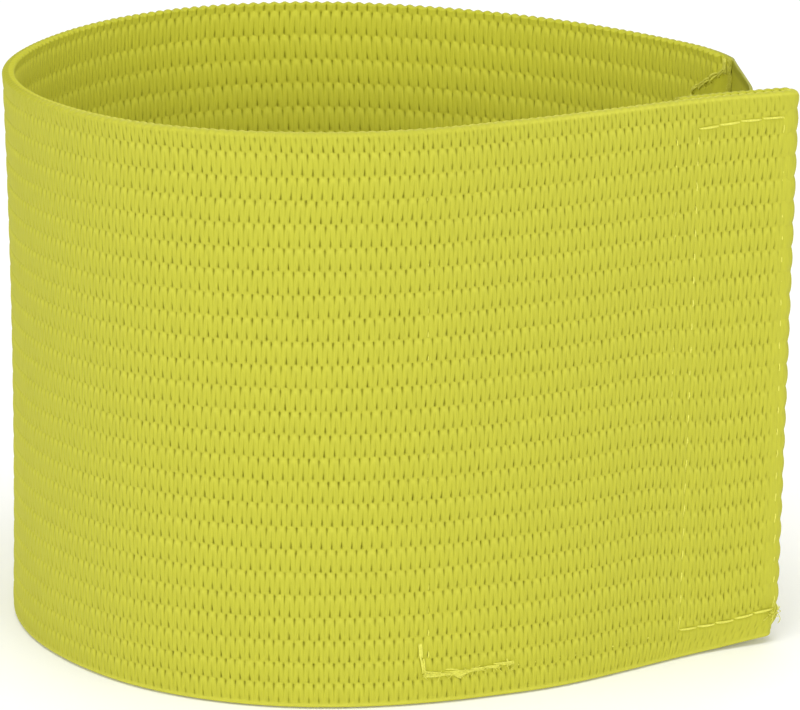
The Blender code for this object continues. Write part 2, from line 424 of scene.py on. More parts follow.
class Surface:
    """The whole strip's surface: a grid of columns along it, each a closed loop of rows."""

    def __init__(self):
        self.p = column_positions()
        self.outer_rows = row_heights(RIB, RIB_SHIFT)
        self.inner_rows = row_heights(INNER_RIB, INNER_SHIFT)
        count = len(self.outer_rows)
        heights = np.concatenate([self.outer_rows, self.inner_rows[-2:0:-1]])
        outer = np.arange(len(heights)) < count
        self.side = np.where(outer, 1.0, -1.0)
        self.side[[0, count - 1]] = 0.0
        P, Z = grid(self.p, heights)
        S = self.S = P + skew(P, Z)
        from_top = HEIGHT - Z
        phase = np.interp(P, PLACES, PHASES)
        # the ribs run down towards the fold in the sewn hem
        sunk = 0.0018 * smooth(0.074, 0.025, Z) * smooth(0.0235, 0.0100, S) * outer
        rib = (from_top - sunk) / np.where(outer, RIB, INNER_RIB)
        rib += np.where(outer, RIB_SHIFT, INNER_SHIFT)
        bulge, legs, heads, light, slit, line = knit(phase, rib, np.where(outer, 0, 1))

        groove, flat, self.shade = self.sewn_areas(Z, outer)
        top_edge = smooth(0.00005, 0.00025, from_top)
        top_edge = np.where(outer, smooth(0.00030, 0.00070, from_top), top_edge)
        knitted = top_edge * smooth(0.0006, 0.0010, Z) * (1 - flat)
        # the slits and crease lines are cut into the relief and also painted darker, as shade
        self.slit, self.line = slit * knitted, line * knitted
        # painted highlights on the knit and along the edges
        self.light = light * knitted + self.painted_edge_highlights(Z, outer)

        rib_depth = RIB_DEPTH + 0.00060 * hump(S, -0.0016, 0.0024) + 0.00010 * hump(S, 0.142, 0.020)
        relief = -rib_depth * (1 - bulge) * (0.35 + 0.65 * knitted)
        relief += (LEG_HEIGHT * (legs - 0.6) + HEAD_HEIGHT * heads) * knitted
        relief -= SLIT_DEPTH * self.slit + LINE_DEPTH * self.line + groove
        slant = np.cos(tau * (phase - 0.35 * from_top / 0.0007))
        relief += hump(from_top, 0.00042, 0.00030) * outer * (0.00003 + 0.00006 * slant)
        relief -= 0.00005 * hump(Z, 0.00085, 0.00020) * outer

        # the strip's inner end is pressed thin against the tape
        half = HALF + relief - np.where(outer, 0.0, pressed_in(S, Z))
        half *= rounded(from_top, np.where(outer, 0.00062, 0.00036)) * rounded(Z, 0.00035)
        middle, normal, along = path(S)
        plan = middle + normal * (self.side * half)[..., None]
        scallop = (0.00006 + 0.00007 * smooth(0.10, 0.14, S)) * (1 - np.cos(tau * phase))
        z = Z - scallop * hump(from_top, 0.0, 0.0005)
        self.points = stack_height(plan, z) + softening(along, z)
        # normals from the whole grid, so that neighbouring pieces meet unseen
        onward = np.gradient(self.points, axis=0)
        upward = np.roll(self.points, -1, 1) - np.roll(self.points, 1, 1)
        self.normals = unit(np.cross(upward, onward))
        self.caps = self.cap_triangles()

    def painted_edge_highlights(self, Z, outer):
        """Painted highlights along the front's upper edge, the lower edge outside, and beside the
        cut end above the tape's seam.
        """
        S = self.S
        top = hump(HEIGHT - Z, 0.00036, 0.00020) * smooth(0.060, 0.030, S) * (S > -0.001)
        bottom = hump(Z, 0.00035, 0.00035)
        over_seam = smooth(-0.0002, 0.0002, Z - np.interp(S, (0.3053, PATH_END), (0.0739, 0.0778)))
        cut = smooth(PATH_END - 0.0012, PATH_END - 0.0008, S) * over_seam
        return np.where(outer, 1.4 * top + 1.3 * bottom, 2.0 * cut)

    def sewn_areas(self, Z, outer):
        """How deep the seams press the cloth, how flat it is there, and where painted shade darkens
        it.
        """
        S = self.S
        groove, flat = np.zeros_like(Z), np.zeros_like(Z)
        for line, face, depth, pinch in (
            *((line, outer, 0.00020, 0.00008) for line in (HEM_TOP, HEM_BOTTOM)),
            *((line, outer, 0.00006, 0.00003) for line in (HEM_LEFT, HEM_RIGHT)),
            *((line, outer, 0.00016, 0.00008) for line in (TACK_UPRIGHT, TACK_LEVEL)),
            (TAPE_TOP, ~outer, 0.00020, 0.00012),
            (TAPE_LEFT, ~outer, 0.00012, 0.00006),
            (TAPE_RIGHT, ~outer, 0.00006, 0.00003),
        ):
            low, high = min(p for p, z in line) - 0.003, max(p for p, z in line) + 0.003
            near = slice(self.column_at(low), self.column_at(high) + 1)
            away = distance_to(line, S[near], Z[near])
            groove[near] += face * (depth * hump(away, 0, 0.0003) + pinch * hump(away, 0, 0.0012))
            flat[near] = np.maximum(flat[near], face * depth / 0.00022 * hump(away, 0, 0.0005))
        folded = 0.88 * smooth(0.0030, 0.0004, S) * smooth(-FOLD_ARC - 0.002, -FOLD_ARC, S)
        above = 0.45 * smooth(0.0752, 0.0768, Z) * smooth(0.0145, 0.0105, S) * (S > -0.003)
        below = 0.55 * smooth(0.0046, 0.0036, Z) * smooth(0.0165, 0.0145, S) * (S > -0.003)
        under_seam = smooth(0.0002, -0.0010, above_tape_seam(S, Z))
        end = 0.92 * smooth(0.3035, 0.3065, S) * under_seam * ~outer
        flat = np.maximum.reduce([flat, folded * outer, above * outer, below * outer, end])
        # painted shade on the hem layer's upper edge behind the front, on the pressed inner end
        # below the tape's seam, and along the rim past the front, against the top lamp's highlight
        shade = 1.3 * smooth(-0.0010, -0.0030, S) * smooth(0.0020, 0.0008, HEIGHT - Z)
        shade += 0.75 * end + 1.2 * hump(HEIGHT - Z, 0, 0.0005) * smooth(0.10, 0.14, S)
        return groove, np.clip(flat, 0, 1), shade

    def cap_triangles(self):
        """Triangles that close a column's loop, as places round the loop."""
        count, last = len(self.outer_rows), len(self.side) - 1
        loops = (list(range(count)), [0, *range(last, count - 1, -1), count - 1])
        faces = enumerate((self.outer_rows, self.inner_rows))
        at, triangles = [0, 0], []
        for height, face in sorted((z, face) for face, rows in faces for z in rows[1:]):
            triangle = (loops[0][at[0]], loops[face][at[face] + 1], loops[1][at[1]])
            at[face] += 1
            if len(set(triangle)) == 3:
                triangles.append(triangle)
        return np.array(triangles)

    def column_at(self, p):
        """The grid column nearest to a path distance."""
        return int(np.argmin(np.abs(self.p - p)))


# ---- meshes


def unit(vectors):
    """The same vectors at length 1."""
    return vectors / np.maximum(np.linalg.norm(vectors, axis=-1, keepdims=True), 1e-12)


def scene_object(name, data):
    """A new object in the scene."""
    thing = bpy.data.objects.new(name, data)
    bpy.context.scene.collection.objects.link(thing)
    return thing


def mesh_object(name, points, faces, materials, normals=None, attributes=None):
    """A smooth mesh object. faces is a list of (corner indices, material number) arrays."""
    mesh = bpy.data.meshes.new(name)
    points = np.asarray(points, np.float32)
    mesh.vertices.add(len(points))
    mesh.vertices.foreach_set("co", points.ravel())
    sizes = np.concatenate([np.full(len(f), f.shape[1]) for f, number in faces])
    mesh.loops.add(int(sizes.sum()))
    corners = np.concatenate([f.ravel() for f, number in faces]).astype(np.int32)
    mesh.loops.foreach_set("vertex_index", corners)
    mesh.polygons.add(len(sizes))
    starts = (np.cumsum(sizes) - sizes).astype(np.int32)
    mesh.polygons.foreach_set("loop_start", starts)
    mesh.polygons.foreach_set("use_smooth", np.full(len(sizes), True))
    for material in materials:
        mesh.materials.append(material)
    numbers = np.concatenate([np.full(len(f), number) for f, number in faces]).astype(np.int32)
    mesh.polygons.foreach_set("material_index", numbers)
    mesh.update(calc_edges=True)
    for key, values in (attributes or {}).items():
        values = np.asarray(values, np.float32)
        kind, field = ("FLOAT_VECTOR", "vector") if values.ndim == 2 else ("FLOAT", "value")
        mesh.attributes.new(key, kind, "POINT").data.foreach_set(field, values.ravel())
    if normals is not None:
        mesh.normals_split_custom_set(np.asarray(normals, np.float32))
    return scene_object(name, mesh)


# the marks the knitted material paints: painted shade in the slits and creases, painted highlights,
# and painted shade
TONES = ("slit", "line", "light", "shade")


def strip_piece(surface, name, first, last, materials):
    """One closed length of the strip, from one grid column to another."""
    part = slice(first, last + 1)
    points = surface.points[part]
    index = np.arange(points[..., 0].size).reshape(points.shape[:2])
    a, b = index[:-1], index[1:]
    quads = np.stack([a, np.roll(a, -1, 1), np.roll(b, -1, 1), b], -1).reshape(-1, 4)
    start_cap = index[0][surface.caps][:, ::-1]
    end_cap = index[-1][surface.caps]
    normals = [surface.normals[part].reshape(-1, 3)[quads.ravel()]]
    for cap, column, inner in ((start_cap, 0, 1), (end_cap, -1, -2)):
        axis = points[column].mean(0) - points[inner].mean(0)
        normals.append(np.tile(axis / np.linalg.norm(axis), (cap.size, 1)))
    values = {key: getattr(surface, key)[part].ravel() for key in TONES}
    side = np.broadcast_to(surface.side, points.shape[:2])
    cloth = np.stack([surface.S[part] * 1000, points[..., 2] * 1000, side], -1)
    values["cloth"] = cloth.reshape(-1, 3)
    faces = [(quads, 0), (start_cap, 1), (end_cap, 1)]
    return mesh_object(
        name, points.reshape(-1, 3), faces, materials, np.concatenate(normals), values
    )


def tubes(lines, reference, radius, sides=6, ends=0.6, ply=0.0):
    """Closed round tubes along many lines of as many points each, as points and quads.

    reference is a direction off the lines, and ends the share of the radius at the tips. ply is
    how deep the turns of a twisted thread are, as a share of the radius.
    """
    steps = lines.shape[1]
    tangent = unit(np.gradient(lines, axis=1))
    reference = np.broadcast_to(reference, lines.shape)
    aside = unit(reference - (reference * tangent).sum(-1, keepdims=True) * tangent)
    other = np.cross(tangent, aside)
    angle = tau * np.arange(sides) / sides
    taper = np.ones(steps)
    taper[[0, -1]] = ends
    turns = 1 + ply * np.cos(2 * angle - (distances(lines) / 0.0005)[..., None])
    size = (radius * taper[None, :, None] * turns)[..., None]
    around, across = direction(angle).T[..., None]
    ring = around * aside[..., None, :] + across * other[..., None, :]
    points = lines[..., None, :] + size * ring
    index = np.arange(points[..., 0].size).reshape(points.shape[:3])
    a, b = index[:, :-1], index[:, 1:]
    body = np.stack([a, np.roll(a, -1, 2), np.roll(b, -1, 2), b], -1).reshape(-1, 4)
    caps = [(i, i + 1, sides - 2 - i, sides - 1 - i) for i in range(sides // 2 - 1)]
    start = index[:, 0][:, caps].reshape(-1, 4)[:, ::-1]
    end = index[:, -1][:, caps].reshape(-1, 4)
    return points.reshape(-1, 3), np.concatenate([body, start, end])


def tube_object(name, groups, material):
    """One object from several groups of tubes."""
    points = np.concatenate([p for p, quads in groups])
    offsets = np.cumsum([0] + [len(p) for p, quads in groups])
    quads = np.concatenate([q + offset for (p, q), offset in zip(groups, offsets)])
    return mesh_object(name, points, [(quads, 0)], [material])


def slab(name, front, back, material, P, Z):
    """A closed slab between two grids of points, whose places on the cloth are P and Z."""
    index = np.arange(P.size).reshape(P.shape)
    corners = (index[:-1, :-1], index[:-1, 1:], index[1:, 1:], index[1:, :-1])
    face = np.stack(corners, -1).reshape(-1, 4)
    rim = np.concatenate([index[0, :-1], index[:-1, -1], index[-1, :0:-1], index[:0:-1, 0]])
    rim_behind = rim + P.size
    edge = np.stack([np.roll(rim, -1), rim, rim_behind, np.roll(rim_behind, -1)], -1)
    quads = np.concatenate([face, face[:, ::-1] + P.size, edge])
    points = np.concatenate([front.reshape(-1, 3), back.reshape(-1, 3)])
    cloth = [np.stack([P * 1000, Z * 1000, side + 0 * P], -1).reshape(-1, 3) for side in (1, -1)]
    attributes = {"cloth": np.concatenate(cloth)}
    return mesh_object(name, points, [(quads, 0)], [material], attributes=attributes)


# ---- materials


class Nodes:
    """A material's node tree, with short ways to add to it."""

    def __init__(self, name):
        self.material = bpy.data.materials.new(name)
        self.material.use_nodes = True
        self.tree = self.material.node_tree
        self.shader = self.tree.nodes["Principled BSDF"]

    def put(self, node, inputs):
        """Gives a node's inputs numbers, vectors, colours or other nodes' outputs."""
        for key, value in inputs.items():
            socket = node.inputs[key]
            if isinstance(value, bpy.types.NodeSocket):
                self.tree.links.new(value, socket)
            elif value is not None:
                socket.default_value = (*value, 1.0) if socket.type == "RGBA" else value
        return node

    def add(self, kind, inputs, **settings):
        """A new node's outputs."""
        node = self.tree.nodes.new(kind)
        for key, value in settings.items():
            setattr(node, key, value)
        return self.put(node, inputs).outputs

    def attribute(self, name, output="Fac"):
        return self.add("ShaderNodeAttribute", {}, attribute_name=name)[output]

    def place(self):
        """The place on the piece, in metres."""
        return self.add("ShaderNodeTexCoord", {})["Object"]

    def math(self, operation, a, b=None):
        return self.add("ShaderNodeMath", {0: a, 1: b}, operation=operation)[0]

    def mix(self, factor, a, b, blend="MIX"):
        inputs = {0: factor, 6: a, 7: b}
        return self.add("ShaderNodeMix", inputs, data_type="RGBA", blend_type=blend)[2]

    def tint(self, colour, amount, share, towards, blend="MIX"):
        """colour, changed towards another by a share of an amount."""
        return self.mix(self.math("MULTIPLY", amount, share), colour, towards, blend)

    def split(self, vector):
        """The three parts of a vector."""
        return self.add("ShaderNodeSeparateXYZ", {0: vector})

    def noise(self, vector, scale, detail=2.0, stretch=(1, 1, 1)):
        mapped = self.add("ShaderNodeMapping", {"Vector": vector, "Scale": stretch})[0]
        inputs = {"Vector": mapped, "Scale": scale, "Detail": detail}
        return self.add("ShaderNodeTexNoise", inputs)["Fac"]

    def ramp(self, value, low, high):
        """value, remapped so that low gives 0 and high gives 1."""
        inputs = {"Value": value, "From Min": low, "From Max": high}
        return self.add("ShaderNodeMapRange", inputs)[0]

    def finish(self, colour, roughness, height=None, distance=0.00005, strength=1.0, sheen=0.0):
        """The material, with a bump of that height, if any."""
        inputs = {"Base Color": colour, "Roughness": roughness, "Sheen Weight": sheen}
        if sheen:
            inputs.update({"Sheen Roughness": 0.5, "Sheen Tint": (0.85, 0.87, 0.35)})
        if height is not None:
            bump = {"Strength": strength, "Distance": distance, "Height": height}
            inputs["Normal"] = self.add("ShaderNodeBump", bump)[0]
        self.put(self.shader, inputs)
        return self.material


LIME = (0.494, 0.487, 0.0290)
# a lighter lime for painted highlights
LIME_HIGHLIGHT = (0.605, 0.595, 0.053)
LIME_PALE = (0.720, 0.705, 0.105)
# a darker lime for painted shade, and for uneven mottling
LIME_SHADE_AND_MOTTLE = (0.335, 0.331, 0.002)
# painted shade in the slits
LIME_SLIT_SHADE = (0.225, 0.222, 0.0005)
# painted shade on the hook tape
TAPE_SHADE = (0.300, 0.296, 0.010)


def elastic_material():
    """Knitted elastic: bright filaments, painted shade in the slits, painted highlights, a little
    uneven all over.
    """
    n = Nodes("knitted_elastic")
    cloth = n.attribute("cloth", "Vector")
    filaments = n.noise(cloth, 1.0, 2.0, (6.0, 0.22, 3.0))
    fine = n.noise(cloth, 1.0, 1.0, (17.0, 0.8, 3.0))
    patches = n.noise(cloth, 1.0, 2.0, (0.09, 0.11, 1.0))
    tone = n.math("ADD", n.math("MULTIPLY", filaments, 0.55), n.math("MULTIPLY", fine, 0.45))
    dark, bright = (tuple(share * c for c in LIME) for share in (0.93, 1.07))
    colour = n.mix(n.ramp(tone, 0.34, 0.68), dark, bright)
    # painted highlights, and painted shade in the crease lines, in the slits, at the hem's top and
    # along the rim
    for name, share, towards in (
        ("light", 0.50, LIME_HIGHLIGHT), ("line", 0.62, LIME_SHADE_AND_MOTTLE),
        ("slit", 0.85, LIME_SLIT_SHADE), ("shade", 0.55, LIME_SHADE_AND_MOTTLE),
    ):
        colour = n.tint(colour, n.attribute(name), share, towards)
    colour = n.tint(colour, n.ramp(patches, 0.2, 0.8), 0.07, LIME_SHADE_AND_MOTTLE)
    along, height, side = n.split(cloth)
    # painted light: the inner face is made lighter, most towards its top
    inside = n.ramp(side, 0.3, -0.3)
    painted_light_near_top = n.math("MULTIPLY", inside, n.ramp(height, 45.0, 82.0))
    colour = n.tint(colour, inside, 0.10, (2.0, 2.0, 2.0), "MULTIPLY")
    colour = n.tint(colour, painted_light_near_top, 0.16, (2.0, 2.0, 2.1), "MULTIPLY")
    roughness = n.math("ADD", n.math("MULTIPLY", fine, 0.12), 0.72)
    relief = n.math("ADD", n.math("MULTIPLY", filaments, 0.5), n.math("MULTIPLY", fine, 0.5))
    return n.finish(colour, roughness, relief, 0.00008, 0.6, sheen=0.02)


def cut_material():
    """The cut end of the elastic: pale broken filaments round darker rubber threads."""
    n = Nodes("cut_elastic")
    cloth = n.attribute("cloth", "Vector")
    fibres = n.noise(cloth, 1.0, 3.0, (9.0, 3.0, 6.0))
    colour = n.mix(n.ramp(fibres, 0.35, 0.65), LIME, LIME_PALE)
    return n.finish(colour, 0.8, fibres, 0.00015, 0.8)


def thread_material():
    """Polyester sewing thread, a shade lighter than the band."""
    n = Nodes("sewing_thread")
    fibres = n.noise(n.place(), 4200.0)
    colour = n.mix(n.ramp(fibres, 0.3, 0.7), (0.63, 0.62, 0.065), (0.76, 0.75, 0.115))
    return n.finish(colour, 0.55, fibres, 0.00003, 0.5, sheen=0.05)


def tape_material():
    """The hook tape's web: a fine smooth plain weave, a little darker than the band, with painted
    shade.
    """
    n = Nodes("woven_tape")
    n.put(n.shader, {"Specular IOR Level": 0.2})
    cloth = n.attribute("cloth", "Vector")
    along, height, side = n.split(cloth)
    across_warp = n.math("SINE", n.math("MULTIPLY", height, tau / 0.62))
    along_weft = n.math("SINE", n.math("MULTIPLY", along, tau / 0.50))
    weave = n.math("MULTIPLY", across_warp, along_weft)
    streaks = n.noise(cloth, 1.0, 2.0, (0.25, 4.0, 1.0))
    colour = n.mix(n.ramp(weave, -1.0, 1.0), (0.440, 0.436, 0.020), (0.510, 0.503, 0.030))
    colour = n.tint(colour, n.ramp(streaks, 0.3, 0.7), 0.20, (0.560, 0.550, 0.042))
    # painted shade on the upper edge and on the hook side
    colour = n.tint(colour, n.ramp(height, 77.8, 78.6), 0.80, TAPE_SHADE)
    colour = n.tint(colour, n.ramp(side, -0.3, 0.3), 0.55, TAPE_SHADE)
    return n.finish(colour, 0.62, n.math("ADD", weave, streaks), 0.00003, 0.5, sheen=0.02)


def hook_material():
    """The hooks: stiff nylon, smoother and more glossy than cloth."""
    n = Nodes("nylon_hooks")
    colour = n.mix(n.noise(n.place(), 900.0), (0.58, 0.57, 0.050), (0.70, 0.69, 0.090))
    return n.finish(colour, 0.32)


def loop_material():
    """The loop patch: brushed nylon pile, soft and uneven."""
    n = Nodes("brushed_loops")
    where = n.place()
    tufts = n.noise(where, 700.0, 3.0)
    clouds = n.noise(where, 90.0, 2.0)
    colour = n.mix(n.ramp(tufts, 0.3, 0.7), (0.47, 0.47, 0.030), (0.66, 0.65, 0.070))
    colour = n.tint(colour, n.ramp(clouds, 0.3, 0.7), 0.15, LIME_SHADE_AND_MOTTLE)
    return n.finish(colour, 0.85, tufts, 0.00020, 0.7, sheen=0.10)


def floor_material():
    """A pale, even studio floor."""
    n = Nodes("pale_floor")
    n.put(n.shader, {"Emission Color": (0.93, 0.93, 1.0), "Emission Strength": 0.07})
    return n.finish(n.mix(n.noise(n.place(), 3.0), (0.955, 0.955, 0.955), (0.97, 0.97, 0.97)), 0.9)


# ---- the band


def plan_at(along, depth):
    """Plan positions at a depth inside the strip's outer face."""
    position, heading = station(along)
    return ORIGIN + position + depth * direction(heading - pi / 2)


MOST_COLUMNS = 215  # in one piece of the strip
FLAP_CUTS = (0.0, 0.0215, 0.0430, 0.0650)


def band_plan(surface):
    """The strip's pieces: (name, start, end, bodies)."""
    names = ("elastic_hem", "elastic_flap_01", "elastic_flap_02", "elastic_flap_hinge")
    cuts = (HEM_START, *FLAP_CUTS)
    plan = [(name, a, b, ("flap",)) for name, a, b in zip(names, cuts, cuts[1:])]
    plan[-1] = (*plan[-1][:3], ("flap", "length_01"))
    number, start = 0, cuts[-1]
    for k in range(1, LENGTH_COUNT + 1):
        last = k == LENGTH_COUNT
        end = PATH_END if last else MIDS[k + 1] - FOLD_START
        bodies = ("length_10",) if last else (f"length_{k:02d}", f"length_{k + 1:02d}")
        parts = ceil((surface.column_at(end) - surface.column_at(start)) / MOST_COLUMNS)
        for i in range(parts):
            number += 1
            a, b = (start + (end - start) * share / parts for share in (i, i + 1))
            plan.append((f"elastic_band_{number:02d}", a, b, bodies))
        start = end
    return plan


def covered_nodes(start, end, bodies):
    """The CAD nodes that a piece of the strip stands for."""
    if "flap" in bodies:
        return ["front_flap"]
    return [
        f"band_length_{m + 1:02d}"
        for m in range(LENGTH_COUNT)
        if min(end + FOLD_START, ENDS[m + 1]) - max(start + FOLD_START, ENDS[m]) > 0.003
    ]


def make_band(surface):
    """The strip in closed lengths, each on its body, or left in place where it spans two."""
    materials = [elastic_material(), cut_material()]
    for name, start, end, bodies in band_plan(surface):
        columns = surface.column_at(start), surface.column_at(end)
        piece = strip_piece(surface, name, *columns, materials)
        if len(bodies) == 1:
            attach(piece, bodies[0])
        else:
            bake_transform(piece)
        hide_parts(*covered_nodes(start, end, bodies))


def make_cut_fibres():
    """Short loose filaments along the strip's cut inner end."""
    count = 190
    column = (count, 1)
    height = np.linspace(0.0012, HEIGHT - 0.0004, count)[:, None]
    height = height + rng.uniform(-0.0002, 0.0002, column)
    lift = rng.uniform(-0.0007, -0.0001, column)
    t = np.linspace(0, 1, 5)
    p = PATH_END - 0.0002 + rng.uniform(0.0003, 0.0010, column) * t
    z = height + rng.uniform(-0.0004, 0.0004, column) * t**2
    lines = on_band(p, z, lift + rng.uniform(-0.0003, 0.0001, column) * t**2)
    # above the tape's seam the cut end stands out as a pale frayed edge
    rows = 16
    p = np.linspace(PATH_END - 0.0007, PATH_END - 0.0001, rows)[:, None]
    p = p + rng.uniform(-0.0001, 0.0001, (rows, t.size))
    z = 0.0797 - 0.0022 * t + rng.uniform(-0.0002, 0.0001, (rows, 1))
    frayed = on_end_face(p, z, rng.uniform(0.0000, 0.0002, (rows, 1)))
    groups = [tubes(lines, (0, 0, 1), 0.000045, 4), tubes(frayed, (1, 0, 0), 0.00007, 4)]
    piece = tube_object("elastic_cut_fibres", groups, thread_material())
    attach(piece, "length_10")


# ---- the loop patch


PATCH_FACE = 0.00122  # lift of the patch's brushed face off the cloth's inner face
ARCH_ACROSS = 0.001 * np.array([-0.30, -0.36, -0.20, 0.06, 0.32, 0.34, 0.24])
ARCH_UP = 0.001 * np.array([-0.05, 0.22, 0.40, 0.44, 0.36, 0.18, -0.05])


def make_loop_patch():
    """The patch that the hooks grip: a slab of brushed cloth, covered with small loops."""
    start, end = PATCH_START - FOLD_START, PATCH_END - FOLD_START
    low, high = PATCH_MARGIN, HEIGHT - PATCH_MARGIN
    P, Z = grid(np.linspace(start, end, 96), np.linspace(low, high, 180))
    rough = rng.standard_normal(P.shape)
    rough = sum(np.roll(rough, k, axis) for k in (-1, 0, 1) for axis in (0, 1)) / 6
    edge = np.minimum.reduce([P - start, end - P, Z - low, high - Z])
    crown = smooth(0.0, 0.0010, edge)
    front = on_inner_face(P, Z, 0.00010)
    back = on_inner_face(P, Z, 0.00070 + 0.00055 * crown + 0.00008 * rough * crown)
    material = loop_material()
    patch = slab("loop_patch_base", front, back, material, P, Z)
    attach(patch, "flap")
    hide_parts("loop_patch")

    spots = np.stack(grid(
        np.arange(start + 0.0008, end - 0.0006, 0.00095),
        np.arange(low + 0.0008, high - 0.0006, 0.00105),
    ), -1).reshape(-1, 2)
    spots = spots + rng.uniform(-0.00035, 0.00035, spots.shape)
    angle = rng.uniform(0, pi, len(spots))[:, None]
    size = rng.uniform(0.75, 1.2, len(spots))[:, None]
    across, up = ARCH_ACROSS * size, ARCH_UP * size
    p = spots[:, :1] + across * np.cos(angle)
    z = spots[:, 1:] + across * np.sin(angle)
    lines = on_inner_face(p, z, PATCH_FACE + up)
    out = unit(lines - on_inner_face(p, z, 0.0))
    arches = tubes(lines, np.cross(out, (0, 0, 1)), 0.000055, 4)
    pile = tube_object("loop_patch_pile", [arches], material)
    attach(pile, "flap")


# ---- the hook tape

WEB = 0.0005  # the woven web's thickness, on the back side of the tape's whole thickness
SEWN_DEPTH = -GAP - WEB / 2  # of the web's middle, inside the strip's outer face
GRIP_DEPTH = HEM_THICKNESS + GAP + TAPE_THICKNESS - WEB / 2
HOOK_LIFT = WEB / 2
BEND_WINDOW = 0.0012


def tape_route():
    """The web's middle in plan, in even steps, from its sewn start to its tip."""
    sewn = plan_at(np.linspace(STRIP_LENGTH - TAPE_SEWN, STRIP_LENGTH - 0.0012, 40), SEWN_DEPTH)
    grip = plan_at(np.linspace(TAPE_GRIPS, TAPE_TIP, 60), GRIP_DEPTH)
    corners = np.concatenate([sewn, grip])
    run = distances(corners)
    step = 0.0002
    even = np.arange(-BEND_WINDOW, run[-1] + BEND_WINDOW, step)
    route = between(even, run, corners)
    for beyond, end, near in ((-even, *corners[:2]), (even - run[-1], *corners[:-3:-1])):
        past = beyond > 0
        route[past] = end + unit(end - near) * beyond[past, None]
    window = np.ones(round(BEND_WINDOW / step))
    window /= window.sum()
    route = np.stack([np.convolve(values, window, "same") for values in route.T], -1)
    keep = (even >= -step / 2) & (even <= run[-1] + step / 2)
    return even[keep], route[keep], run[len(sewn) - 1], run[len(sewn)]


TAPE_RUN, TAPE_PLAN, TAPE_LEAVES, TAPE_BENDS = tape_route()
TAPE_MIDDLE = (TAPE_LEAVES + TAPE_BENDS) / 2


def on_tape(run, height, lift):
    """Points at a lift towards the hook side from the web's middle, that far along the tape."""
    run, height, lift = np.broadcast_arrays(run, height, lift)
    plan = between(run, TAPE_RUN, TAPE_PLAN)
    tangent = unit(between(run, TAPE_RUN, np.gradient(TAPE_PLAN, axis=0)))
    normal = np.stack([-tangent[..., 1], tangent[..., 0]], -1)
    sewn_along = np.minimum(STRIP_LENGTH - TAPE_SEWN + run, STRIP_LENGTH)
    grip_along = np.clip(TAPE_GRIPS + run - TAPE_BENDS, 0, TAPE_TIP)
    gripped = smooth(TAPE_LEAVES, TAPE_BENDS, run)[..., None]
    moved = (1 - gripped) * softening(sewn_along, height) + gripped * softening(grip_along, height)
    return stack_height(plan + normal * lift[..., None], height) + moved


def make_hook_tape():
    """The woven web in two halves, with a field of small hooks on each."""
    web, hooks = tape_material(), hook_material()
    low, high = TAPE_MARGIN, HEIGHT - TAPE_MARGIN
    rim = np.array([0, 0.0001, 0.00025])
    main = np.linspace(low + 0.0006, high - 0.0006, 170)
    heights = np.concatenate([high - rim, main[::-1], low + rim[::-1]])
    for name, start, end, bend, bodies, nodes in (
        ("hook_tape_web_01", 0.0, TAPE_MIDDLE, TAPE_LEAVES, ("length_10", "tape_span"),
         ("hook_tape_sewn_end",)),
        ("hook_tape_web_02", TAPE_MIDDLE, TAPE_RUN[-1], TAPE_BENDS, ("tape_span", "tape_grip"),
         ("hook_tape_free_span", "hook_tape_grip")),
    ):
        runs = np.linspace(start, end, ceil((end - start) / 0.00035))
        T, Z = grid(runs, heights)
        # the upper edge is lower inside the flap, where the front wall hides it
        lowered = smooth(TAPE_BENDS - 0.002, TAPE_BENDS + 0.004, T) * smooth(0.070, high, Z)
        Z = np.minimum(Z, high - 0.0012 * lowered)
        tip = smooth(0.0, 0.0004, T) * smooth(TAPE_RUN[-1], TAPE_RUN[-1] - 0.0004, T)
        edge = rounded(np.minimum(Z - low, high - Z), 0.0003)
        half = WEB / 2 * (0.35 + 0.65 * np.minimum(edge, 0.4 + 0.6 * tip))
        waves = 0.00004 * np.sin(tau * Z / 0.0125 + 40 * T)
        waves += 0.00003 * np.sin(tau * Z / 0.0047)
        rib = 0.000012 * np.cos(tau * Z / 0.00093)
        front, back = on_tape(T, Z, half + waves), on_tape(T, Z, -half + waves - rib)
        piece = slab(name, front, back, web, T, Z)
        bend_start, bend_end = (
            tuple(map(float, on_tape(bend + d, HEIGHT / 2, 0.0))) for d in (-0.0025, 0.0025)
        )
        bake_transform(piece)
        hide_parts(*nodes)
        field = make_hooks(name.replace("web", "hooks"), start, end, hooks)
        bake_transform(field)


HOOK_ALONG = 0.001 * np.array([0.0, 0.0, 0.03, 0.14, 0.28, 0.34])
HOOK_UP = 0.001 * np.array([-0.06, 0.32, 0.52, 0.66, 0.62, 0.48])


def make_hooks(name, start, end, material):
    """Rows of small hooks, bent over by turns along the tape."""
    rows = np.arange(start + 0.0010, end - 0.0005, 0.00150)
    heights = np.arange(0.0020, HEIGHT - 0.0026, 0.00125)
    spots = np.stack(grid(rows, heights), -1).reshape(-1, 2)
    turned = np.repeat(np.where(np.arange(len(rows)) % 2, -1.0, 1.0), len(heights))[:, None]
    spots = spots + rng.uniform(-0.00010, 0.00010, spots.shape)
    lean = rng.uniform(0.9, 1.1, (len(spots), 1))
    run = np.clip(spots[:, :1] + turned * lean * HOOK_ALONG, start, end)
    lines = on_tape(run, spots[:, 1:], HOOK_LIFT + HOOK_UP / lean)
    field = tube_object(name, [tubes(lines, (0, 0, 1), 0.000115, 5)], material)
    return field


# ---- the stitches

THREAD = 0.00016  # radius
STITCH_SUNK = -0.00034  # lift of a stitch's two ends


